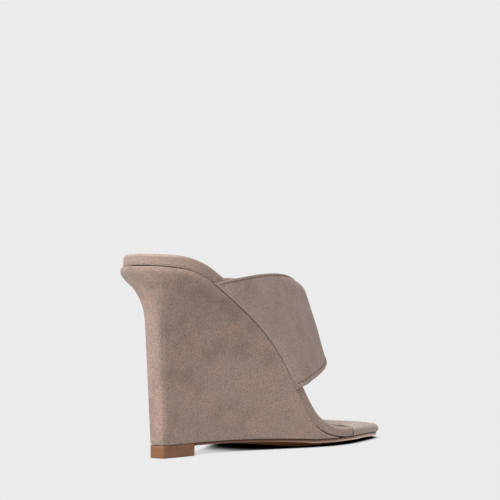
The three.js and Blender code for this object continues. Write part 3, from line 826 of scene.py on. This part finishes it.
# %% The rand
RAND_RADIUS = 2.1
SHOULDER_DOWN = 1.5
SHOULDER_ACROSS = 2.0
# The rand's rounded shoulder is painted paler as a highlight.
SHOULDER_HIGHLIGHT = 0.6


def rand_section(side, way):
    x = way(0)
    tall = footbed_height(x)
    turn_in = turn_in_at(x)
    shape = [(COVER, 0.7), (COVER - 0.3, 0.15), (COVER / 2, 0.0), (0.2, 0.12), (0.0, 0.5)]
    shape += [(0.0, tall * 0.3), (0.0, tall * 0.55)]
    shape += [(i, tall - d) for i, d in rounded(RAND_RADIUS, RAND_RADIUS)]
    shape += [(3.2, tall), (turn_in - 0.3, tall), (turn_in - 0.09, tall - 0.09),
              (turn_in, tall - 0.3), (turn_in, tall - SKIN)]
    shape += [(3.4, tall - SKIN), (2.3, tall - SKIN - 0.1), (COVER + 0.2, tall - 1.2),
              (COVER, tall - 1.7), (COVER, tall * 0.45), (COVER, tall * 0.3)]
    points = [on_footbed(side, way(set_in), set_in, height) for set_in, height in shape]
    wear_light_marks = []
    # Painted shade on the turned-in edge, on the end at the toe seam and along the bottom seam; a
    # painted highlight on the shoulder.
    for set_in, height in shape:
        turned_in = set_in > turn_in - 0.1 or x >= TOE_SEAM
        shoulder = tall - SHOULDER_DOWN < height < tall and set_in < SHOULDER_ACROSS
        if turned_in or height < SEAM_SHADE_BAND:
            wear_light_marks.append(SEAM_SHADE_MARK)
        else:
            wear_light_marks.append(SHOULDER_HIGHLIGHT if shoulder else 0.0)
    return points, wear_light_marks


def make_rand():
    sections = [rand_section(MEDIAL, way) for way in BEHIND_SEAM[::-1]]
    sections += [rand_section(LATERAL, way) for way in BEHIND_SEAM]
    return loft("rand_strip", [s[0] for s in sections], [s[1] for s in sections])


finished(make_rand(), rand_suede, "rand")


# %% The sock and its toe wrap
GROOVE = 0.5
SOCK_EDGE = 0.15
SOCK_PROUD_SEAT = 0.35
SOCK_PROUD_TOE = 1.0
PROUD_RUN = 25.0
LEVEL_RUN = 5.0
WRAP_ACROSS = 3.6
WRAP_DOWN = 3.0
WRAP_FOOT = 1.6
PUFF = 0.5
WRAP_PUFF = 0.9
# The sock's rounded edge, its top and the wrap's rounding are painted paler as highlights.
SOCK_EDGE_HIGHLIGHT = 0.4
WRAP_HIGHLIGHT = 0.6
TOP_HIGHLIGHT = 0.5
LIP_RUBBED = 0.3
LIP_FROM = 2.5
LIP_RUN = 2.0
WALL_LEVELS = 8


def sock_profile(x):
    """Set-ins, heights and marks from the sock's underside over its edge to its top."""
    tall = footbed_height(x)
    proud = mix(SOCK_PROUD_SEAT, SOCK_PROUD_TOE, ease((x - STRAP_FRONT) / PROUD_RUN))
    under, top = tall - COVER, tall + proud * ease((TOE_SEAM - x) / LEVEL_RUN)
    inner = turn_in_at(x) + GROOVE
    # The groove wall beside the rand is painted dark as shade.
    shape = [(inner + 6, under, 0.0), (inner + 0.3, under, SEAM_SHADE_MARK)]
    shape += [(inner, height, SEAM_SHADE_MARK)
              for height in evenly(under + 0.1, top - SOCK_EDGE, WALL_LEVELS)]
    shape += [(inner + i, top - d, SOCK_EDGE_HIGHLIGHT)
              for i, d in rounded(SOCK_EDGE, SOCK_EDGE)[1:]]
    shape += [(inner + i, top + share * PUFF, TOP_HIGHLIGHT)
              for i, share in ((1.5, 0.3), (4, 0.7), (8, 1.0))]
    return shape


def wrap_profile(x):
    """The same ahead of the toe seam, where the sock wraps down to the outsole."""
    tall = footbed_height(x)
    under = tall - COVER
    down = min(WRAP_DOWN, tall * 0.66)
    foot = min(WRAP_FOOT, tall * 0.33)
    lip = LIP_RUBBED * ease((TOE_SEAM + LIP_FROM - x) / LIP_RUN)
    # The wrap's end in the toe seam is painted dark as shade.
    if x <= TOE_SEAM + SEAM_GAP:
        lip = SEAM_SHADE_MARK
    shape = [(9.0, under), (COVER + 0.2, under), (COVER, under - 0.2), (COVER, 0.5)]
    shape += [(COVER - 0.2, 0.1)]
    shape += [(foot * 0.7 * (1 - math.cos(t)), foot * (1 - math.sin(t)))
              for t in evenly(math.pi / 2, 0, 5)][1:]
    shape += [(0.0, mix(foot, tall - down, 0.5))]
    shape += [(i, tall - d) for i, d in rounded(WRAP_ACROSS, down)]
    shape += [(WRAP_ACROSS + i, tall + share * WRAP_PUFF)
              for i, share in ((2.5, 0.3), (5, 0.7), (9, 1.0))]
    # The wrap is painted paler towards its top, as a highlight.
    lit_edge = [WRAP_HIGHLIGHT * ease((height - tall + down) / down) for _, height in shape]
    wear_light_marks = [lip if lip < 0 else max(lip, rub_and_light) for rub_and_light in lit_edge]
    wear_light_marks[-1] = TOP_HIGHLIGHT
    return [(set_in, height, rub_and_light) for (set_in, height), rub_and_light in zip(shape, wear_light_marks)]


def make_sock():
    columns, wear_light_marks = [], []
    for side in (MEDIAL, LATERAL):
        column, rubs_and_light = [], []
        for ways, profile in ((BEHIND_SEAM, sock_profile), (AHEAD_OF_SEAM, wrap_profile)):
            for way in ways:
                shape = profile(way(0))
                column.append([on_footbed(side, way(s), s, h) for s, h, _ in shape])
                rubs_and_light.append([rub_and_light for _, _, rub_and_light in shape])
        columns.append(column)
        wear_light_marks.append(rubs_and_light)
    stacks = columns[0] + columns[1][::-1]
    rubs_and_light = wear_light_marks[0] + wear_light_marks[1][::-1]
    levels = range(len(stacks[0]))
    rings = [[stack[level] for stack in stacks] for level in levels]
    return loft("sock_cover", rings, [[rub_and_light[level] for rub_and_light in rubs_and_light] for level in levels])


print("levels:", len(sock_profile(100)), len(wrap_profile(180)))
finished(make_sock(), sock_suede, "sock")
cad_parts["footbed"].data.materials.clear()
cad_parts["footbed"].data.materials.append(board_shade)

# %% [markdown]
# ## The strap
# The strap is the whole upper: one piece of suede over a thin leather lining, cut so that its
# rear edge sweeps forward over the instep. It has no frame of its own, so its shape is the
# foot's: an arch that grows from the seam beside the footbed and swells a little at the ball.
# Suede and lining are two closed walls that share one surface, a millimetre apart.

# %% The strap's surface
ridge_over = through(STRAP_RIDGE, "down", "over")
ridge_tilt = through(STRAP_RIDGE, "down", "tilt")
ridge_rise = through(STRAP_RIDGE, "down", "rise")
ARCH_FULLNESS = 1.85
STRAP_STAND = FIT_GAP + STRAP_WALL
CLEAR_HIGH = 3.6


def beside_footbed(side, x, y, z):
    """Eases a point of the strap out where it passes the footbed's side."""
    tall = footbed_height(x)
    beside = ease((footbed_bottom(x) + CLEAR_HIGH * tall - z) / ((CLEAR_HIGH - 1) * tall))
    apart = half_width(side, x) + STRAP_STAND
    return max(y, mix(y, apart, beside))


def strap_point(side, down, around):
    """The strap's outer surface: down is rear to front, around is seam (0) to ridge (1)."""
    base_x = mix(side["strap_rear"], STRAP_FRONT, down)
    base_z = footbed_bottom(base_x)
    over_x = ridge_over(down) * SHOE_LENGTH
    tilt = math.radians(ridge_tilt(down))
    rise = ridge_rise(down) * INSTEP_HEIGHT
    ridge_x = over_x + rise * math.cos(tilt)
    ridge_z = footbed_bottom(over_x) + rise * math.sin(tilt)
    turn = around * math.pi / 2
    out = max(math.cos(turn), 0.0) ** (2 / ARCH_FULLNESS)
    up = math.sin(turn) ** (2 / ARCH_FULLNESS)
    swell = math.sin(2 * turn)
    x = mix(base_x, ridge_x, up)
    z = mix(base_z, ridge_z, up) + side["strap_lift"] * swell * (1 - down)
    y = (half_width(side, base_x) + STRAP_STAND) * out + STRAP_BULGE * down * swell
    return Vector((x, side["sign"] * beside_footbed(side, x, y, z), z))


def strap_at(arch, down):
    """arch runs from -1 at the medial seam over 0 at the ridge to 1 at the lateral seam."""
    side = MEDIAL if arch < 0 else LATERAL
    return strap_point(side, down, 1 - abs(arch))


def strap_normal(arch, down):
    """The direction straight out of the strap's surface."""
    reach = 0.004
    a_low, a_high = max(arch - reach, -1), min(arch + reach, 1)
    d_low, d_high = max(down - reach, 0), min(down + reach, 1)
    across = strap_at(a_high, down) - strap_at(a_low, down)
    along = strap_at(arch, d_high) - strap_at(arch, d_low)
    return along.cross(across).normalized()


# %% The strap's walls
ARCH_STEPS = 90
DOWN_STEPS = 54
SUEDE_SKIN = 1.0
EDGE_ROLL = 0.45
PALE_SHARE = 0.16
FREE_EDGE_RUBBED = 0.6
FREE_EDGE_REACH = 0.9
# Beside the seam the strap faces up to the light, so it is painted paler there as a highlight.
BESIDE_SEAM_HIGHLIGHT = 0.3


def strap_wall(name, outer, inner, back_off):
    """A closed wall between two depths under the strap's surface, with rolled edges."""
    rings, wear_light_marks = [], []
    for arch in evenly(-1, 1, ARCH_STEPS):
        side = MEDIAL if arch < 0 else LATERAL
        middle_depth = (outer + inner) / 2
        length = (strap_at(arch, 1) - strap_at(arch, 0)).length
        roll = EDGE_ROLL / length
        start, end = back_off / length, 1 - back_off / length
        downs = evenly(start + roll, end - roll, DOWN_STEPS)
        ring = [(start + roll * 0.3, mix(outer, middle_depth, 0.4))]
        ring += [(down, outer) for down in downs]
        ring += [(end - roll * 0.3, mix(outer, middle_depth, 0.4)), (end, middle_depth)]
        ring += [(end - roll * 0.3, mix(inner, middle_depth, 0.4))]
        ring += [(down, inner) for down in downs[::-1]]
        ring += [(start + roll * 0.3, mix(inner, middle_depth, 0.4)), (start, middle_depth)]
        points, rubs_and_light = [], []
        for down, depth in ring:
            down = clamp01(down)
            point = strap_at(arch, down)
            if abs(arch) < 1:
                point = point - strap_normal(arch, down) * depth
                y = side["sign"] * point.y
            else:
                y = half_width(side, point.x) + STRAP_STAND - depth
            points.append(place(point.x, side["sign"] * y, point.z))
            from_edge = min(down, 1 - down) * length
            at_edge = FREE_EDGE_RUBBED * clamp01(1 - from_edge / FREE_EDGE_REACH)
            # Painted highlight beside the seam; paler rubbed free edges.
            by_seam = BESIDE_SEAM_HIGHLIGHT * ease(1 - (1 - abs(arch)) / PALE_SHARE)
            rubs_and_light.append(max(at_edge, by_seam))
        rings.append(points)
        wear_light_marks.append(rubs_and_light)
    return loft(name, rings, wear_light_marks)


strap_shell = strap_wall("strap_suede_shell", 0.0, SUEDE_SKIN, 0.0)
finished(strap_shell, strap_suede, "upper_strap")
strap_lining = strap_wall("strap_lining", SUEDE_SKIN + 0.08, STRAP_WALL, 0.35)
finished(strap_lining, lining_leather, "upper_strap")

# %% [markdown]
# ## Stitching
# A row of fine machine stitches holds suede and lining together along both free edges. The
# thread sinks into the nap, so what shows is mostly the needle's holes. A texture could draw
# them, but small real stitches also catch the light, so each is a flat bead of thread with a
# dark disc at its end that paints the shade in the hole, all joined into one mesh for each row.

# %% Stitches along both edges
STITCH_PITCH = 1.9
STITCH_LENGTH = 1.0
STITCH_WIDTH = 0.4
REAR_ROW_INSET = 3.2
FRONT_ROW_INSET = 2.3
STITCH_HEIGHT = 0.2
HOLE_RADIUS = 0.42
HOLE_HEIGHT = 0.18
BEAD_SEGMENTS = 8
ROW_SAMPLES = 400
ROW_END = 0.995


def stitch_row(front):
    """Places, normals and directions of the stitches, a pitch apart along one edge."""
    path = []
    for arch in evenly(-ROW_END, ROW_END, ROW_SAMPLES):
        length = (strap_at(arch, 1) - strap_at(arch, 0)).length
        inset = (FRONT_ROW_INSET if front else REAR_ROW_INSET) / length
        down = 1 - inset if front else inset
        path.append((strap_at(arch, down), strap_normal(arch, down)))
    stitches, travelled, due = [], 0.0, STITCH_PITCH
    for (here, normal), (there, _) in zip(path, path[1:]):
        step = (there - here).length
        while travelled + step >= due:
            point = here.lerp(there, (due - travelled) / step)
            stitches.append((point, normal, (there - here).normalized()))
            due += STITCH_PITCH
        travelled += step
    return stitches


def beads(name, stitches, length, width, height, shift):
    """Flattened beads, one for each stitch, joined into one mesh."""
    points, faces = [], []
    for point, normal, direction in stitches:
        beside = normal.cross(direction).normalized()
        centre = point + direction * shift
        base = len(points)
        points.append(centre - normal * height * 0.5)
        for level, lift in ((1.0, -0.5), (0.9, 0.7), (0.5, 0.95)):
            for i in range(BEAD_SEGMENTS):
                turn = 2 * math.pi * i / BEAD_SEGMENTS
                points.append(centre + direction * (math.cos(turn) * length / 2 * level)
                              + beside * (math.sin(turn) * width / 2 * level)
                              + normal * (height * lift))
        points.append(centre + normal * height)
        for i in range(BEAD_SEGMENTS):
            after = (i + 1) % BEAD_SEGMENTS
            first = base + 1
            faces.append((base, first + after, first + i))
            for level in range(2):
                low = first + level * BEAD_SEGMENTS
                high = low + BEAD_SEGMENTS
                faces.append((low + i, low + after, high + after, high + i))
            top = first + 2 * BEAD_SEGMENTS
            faces.append((top + i, top + after, first + 3 * BEAD_SEGMENTS))
    mesh = bpy.data.meshes.new(name)
    mesh.from_pydata([tuple(place(*p)) for p in points], [], faces)
    return finish_mesh(name, mesh)


for edge_name, front in (("rear", False), ("front", True)):
    row = stitch_row(front)
    stitch_beads = beads(f"{edge_name}_stitches", row, STITCH_LENGTH, STITCH_WIDTH,
                         STITCH_HEIGHT, 0.0)
    finished(stitch_beads, thread, "upper_strap")
    # Each dark disc paints the shade in a needle hole.
    hole_shade_dots = beads(f"{edge_name}_pinhole_shade", row, HOLE_RADIUS * 2, HOLE_RADIUS * 2,
                      HOLE_HEIGHT, STITCH_PITCH / 2)
    finished(hole_shade_dots, pinhole, "upper_strap")
    print(edge_name, "row:", len(row), "stitches")

# %% [markdown]
# ## The outsole and the heel tip
# The outsole is a thin plate of leather with a waxed edge. It hangs free of the floor in the
# waist and under the edges, and only swells down to the floor under the ball. The heel tip is
# a block with four small rounded corners. Both have their edges rounded by a scraper, so each
# is lofted with a small radius.

# %% The outsole
SOLE_STEPS = 130
SOLE_EDGE_ROUND = 0.5
TREAD_EDGE = 0.34
TOE_ROLL = 10.0
# Towards the toe the lower edge grows pale as a painted reflection of the room.
REFLECTION_FROM = 85.0
REFLECTION_TO = 170.0
SCRAPED_WAIST = (0.0, 0.0, 0.0, 0.0, 0.0, 0.08, 0.15, 0.1)
TOE_REFLECTION = (0.0, 0.0, 0.0, 0.0, 0.3, 0.9, 1.0, 0.9)
UNDER_SHARES = (1.0, 0.95, 0.9, 0.84, 0.78, 0.72, 0.66, 0.4, 0.0)


def sole_half(side, x):
    if x < WEDGE_END:
        return foot_half(side, x) - OUTSOLE_SET_IN
    return half_width(side, x, OUTSOLE_SET_IN)


def make_outsole():
    """The plate, its lower edge paler: scraped in the waist, a painted reflection at the toe."""
    start = TIP_SET_IN + TIP_LENGTH + FIT_GAP
    end = SHOE_LENGTH - OUTSOLE_SET_IN
    places = evenly(start, SHOE_LENGTH - TOE_DEPTH, SOLE_STEPS)[:-1]
    places += [way(OUTSOLE_SET_IN) for way in stations()[-END_STEPS - 1:]]
    rings, wear_light_marks = [], []
    for x in places:
        top, edge = outsole_top(x), outsole_edge_bottom(x)
        middle = mix(edge, outsole_middle_bottom(x), ease((end - x) / TOE_ROLL))
        r = SOLE_EDGE_ROUND * min(1.0, (end - x + 0.6) / 1.5)
        to_toe = ease((x - REFLECTION_FROM) / (REFLECTION_TO - REFLECTION_FROM))
        over, under = [], []
        for side in (MEDIAL, LATERAL):
            half = sole_half(side, x)
            rows = [(half * 0.5, top), (half - r * 0.5, top), (half - 0.04, top - r * 0.3),
                    (half, top - r * 0.6), (half, mix(top, edge, 0.5)), (half, mix(top, edge, 0.7)),
                    (half, edge + r * 0.8), (half - r * 0.3, edge + r * 0.25)]
            over.append([(side["sign"] * max(y, OFF_MIDLINE), z) for y, z in rows])
            rows = [((half - r) * share, mix(edge, middle, ease((1 - share) / TREAD_EDGE)))
                    for share in UNDER_SHARES]
            under.append([(side["sign"] * max(y, OFF_MIDLINE), z) for y, z in rows])
        # Scraped paler in the waist, painted reflection towards the toe.
        scraped_and_lit = [mix(waist, toe, to_toe) for waist, toe in zip(SCRAPED_WAIST, TOE_REFLECTION)]
        flat = [0.0] * (2 * len(UNDER_SHARES) - 1)
        ring = over[0] + under[0] + under[1][::-1][1:] + over[1][::-1] + [(0.0, top)]
        rub_and_light = scraped_and_lit + flat + scraped_and_lit[::-1] + [0.0]
        rings.append([place(x, y, z) for y, z in ring])
        wear_light_marks.append(rub_and_light)
    return loft("outsole_plate", rings, wear_light_marks)


finished(make_outsole(), sole_leather, "outsole")

# %% The heel tip
TIP_BEVEL = 0.45


def tip_outline(set_in):
    """The tip's outline from above, with its corners rounded."""
    back, front = TIP_WIDTH / 2, TIP_FRONT_WIDTH / 2
    corners = [(0, -back), (TIP_LENGTH, -front), (TIP_LENGTH, front), (0, back)]
    outline = []
    for i, (cx, cy) in enumerate(corners):
        turn = math.pi + i * math.pi / 2
        sx = 1 if cx == 0 else -1
        sy = 1 if cy < 0 else -1
        centre = (cx + sx * TIP_CORNER, cy + sy * TIP_CORNER)
        for t in evenly(turn, turn + math.pi / 2, 8):
            outline.append((centre[0] + (TIP_CORNER - set_in) * math.cos(t),
                            centre[1] + (TIP_CORNER - set_in) * math.sin(t)))
    return outline


def make_heel_tip():
    top = TIP_HEIGHT
    levels = [(TIP_BEVEL, 0.0), (TIP_BEVEL * 0.3, TIP_BEVEL * 0.3), (0.0, TIP_BEVEL)]
    levels += [(0.0, z) for z in evenly(TIP_BEVEL, top - 0.2, 4)[1:]]
    levels += [(0.12, top - 0.04), (0.2, top)]
    rings = []
    for set_in, z in levels:
        outline = tip_outline(set_in)
        rings.append([place(TIP_SET_IN + x, y, z) for x, y in outline])
    return loft("heel_tip_block", rings)


finished(make_heel_tip(), tip_leather, "heel_tip")

# %% [markdown]
# ## Floor, light and camera
# The shoe stands on pale paper in a soft, even room, with one broad key light from behind
# the heel. The paper glows as brightly as the room, as on a light table, so no horizon shows,
# and the key light doesn't change it. The close shadow under the sole isn't cast by the lights:
# an occlusion node darkens the paper where the sole is near. A lit card would also do, but then
# the floor fades. The camera is a long lens at the height of the seat, looking all but level.

# %% The floor
FLOOR_SIZE = 20.0
FLOOR_DROP = 0.02 * MM
ROOM = 0.83
SHADOW_REACH = 7.2 * MM
SHADOW_SAMPLES = 24
SHADOW_FULL = 0.2
SHADOW_NONE = 0.72


def make_floor():
    mesh = bpy.data.meshes.new("pale_floor")
    size = FLOOR_SIZE
    mesh.from_pydata([(-size, -size, 0), (2 * size, -size, 0), (-size, 2 * size, 0)],
                     [], [(0, 1, 2)])
    floor = bpy.data.objects.new("pale_floor", mesh)
    bpy.context.scene.collection.objects.link(floor)
    floor.location.z = -FLOOR_DROP
    material = bpy.data.materials.new("pale_paper")
    material.use_nodes = True
    nodes, links = material.node_tree.nodes, material.node_tree.links
    shader = nodes["Principled BSDF"]
    shader.inputs["Base Color"].default_value = (0, 0, 0, 1)
    shader.inputs["Roughness"].default_value = 1.0
    shader.inputs["Specular IOR Level"].default_value = 0.0
    openness = nodes.new("ShaderNodeAmbientOcclusion")
    openness.samples = SHADOW_SAMPLES
    openness.inputs["Distance"].default_value = SHADOW_REACH
    shade = remap(nodes, links, openness.outputs["AO"], SHADOW_FULL, SHADOW_NONE, 0.0, ROOM)
    glow = nodes.new("ShaderNodeCombineXYZ")
    for axis in glow.inputs:
        links.new(shade, axis)
    links.new(glow.outputs[0], shader.inputs["Emission Color"])
    shader.inputs["Emission Strength"].default_value = 1.0
    mesh.materials.append(material)


make_floor()
print("floor: one plain sheet, as bright as the room")

# %% The light
KEY_FROM = (-1.0, 0.15, 0.85)
KEY_STRENGTH = 3.7
KEY_ANGLE = math.radians(50)

scene = bpy.context.scene
scene.view_settings.view_transform = "Standard"
scene.view_settings.look = "None"
world = bpy.data.worlds.new("soft_room")
scene.world = world
world.use_nodes = True
world.node_tree.nodes["Background"].inputs["Color"].default_value = (ROOM, ROOM, ROOM, 1)
world.node_tree.nodes["Background"].inputs["Strength"].default_value = 1.0
key_data = bpy.data.lights.new("key", "SUN")
key_data.energy = KEY_STRENGTH
key_data.angle = KEY_ANGLE
key = bpy.data.objects.new("key", key_data)
scene.collection.objects.link(key)
key.rotation_euler = Vector(KEY_FROM).to_track_quat("Z", "Y").to_euler()
print("lights: a soft room and one key")

# %% The camera
CAMERA_SPOT = (-920.7, -749.1, 115.0)
VIEW_TURN = math.radians(53.8)
HORIZON_DROP = 4.6
FOCAL_PIXELS = 2118.0
PICTURE_PIXELS = 500.0
SENSOR = 36.0

camera_data = bpy.data.cameras.new("camera")
camera_data.sensor_width = SENSOR
camera_data.lens = FOCAL_PIXELS / PICTURE_PIXELS * SENSOR
camera = bpy.data.objects.new("camera", camera_data)
bpy.context.scene.collection.objects.link(camera)
camera.location = place(*CAMERA_SPOT)
tilt = math.atan(HORIZON_DROP / FOCAL_PIXELS)
camera.rotation_euler = (math.pi / 2 + tilt, 0, -VIEW_TURN)
bpy.context.scene.camera = camera
print(f"lens {camera_data.lens:.1f} mm")
